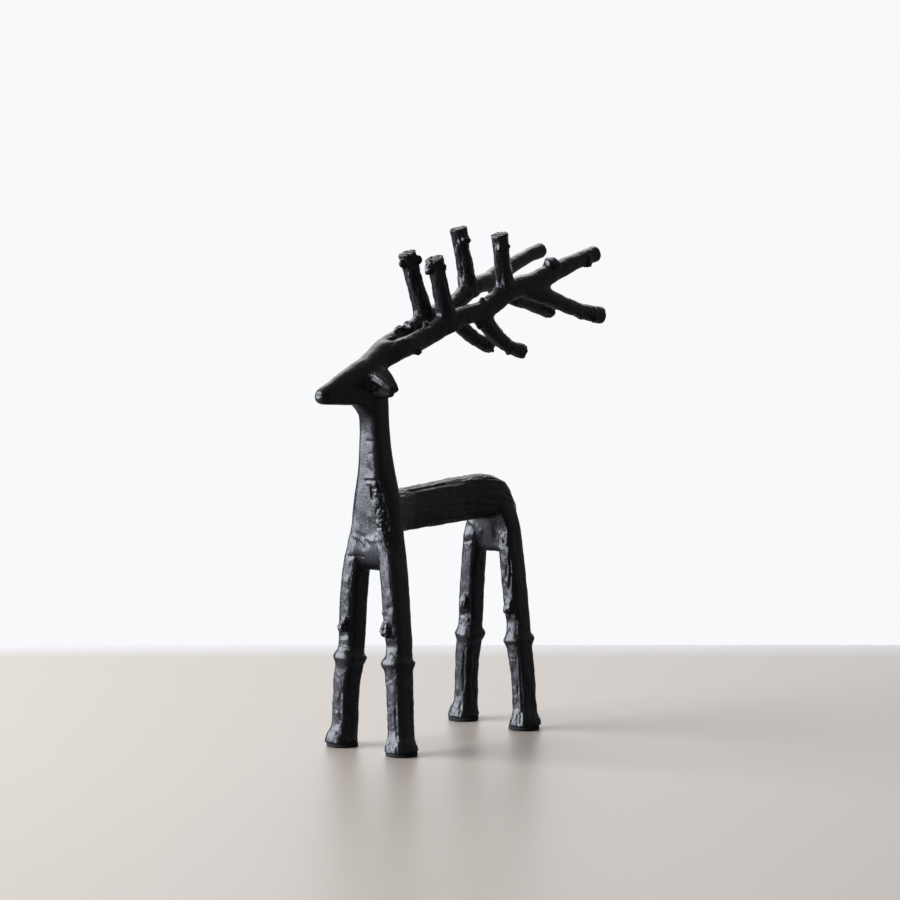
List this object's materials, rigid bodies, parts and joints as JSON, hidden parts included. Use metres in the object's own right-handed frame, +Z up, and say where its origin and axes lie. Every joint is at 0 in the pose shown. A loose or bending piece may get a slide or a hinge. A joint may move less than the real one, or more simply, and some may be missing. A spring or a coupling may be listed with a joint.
{
  "type": "reindeer figurine",
  "caption": "Cast metal reindeer figurine with twig-like legs, a level back and swept-back branching antlers, standing on round foot pads.",
  "frame": {"origin": "on the table under the middle of the figure's bounding box", "axes": "+Z up, the deer faces -Y, its left side is +X"},
  "size_m": [0.0572, 0.2027, 0.2601],
  "materials": {
    "painted_casting": "satin",
    "pad_rubber": "matte"
  },
  "bodies": {
    "root": {"reindeer_casting": "painted_casting", "foot_pad_front_left": "pad_rubber", "foot_pad_front_right": "pad_rubber", "foot_pad_hind_left": "pad_rubber", "foot_pad_hind_right": "pad_rubber"}
  },
  "joints": []
}
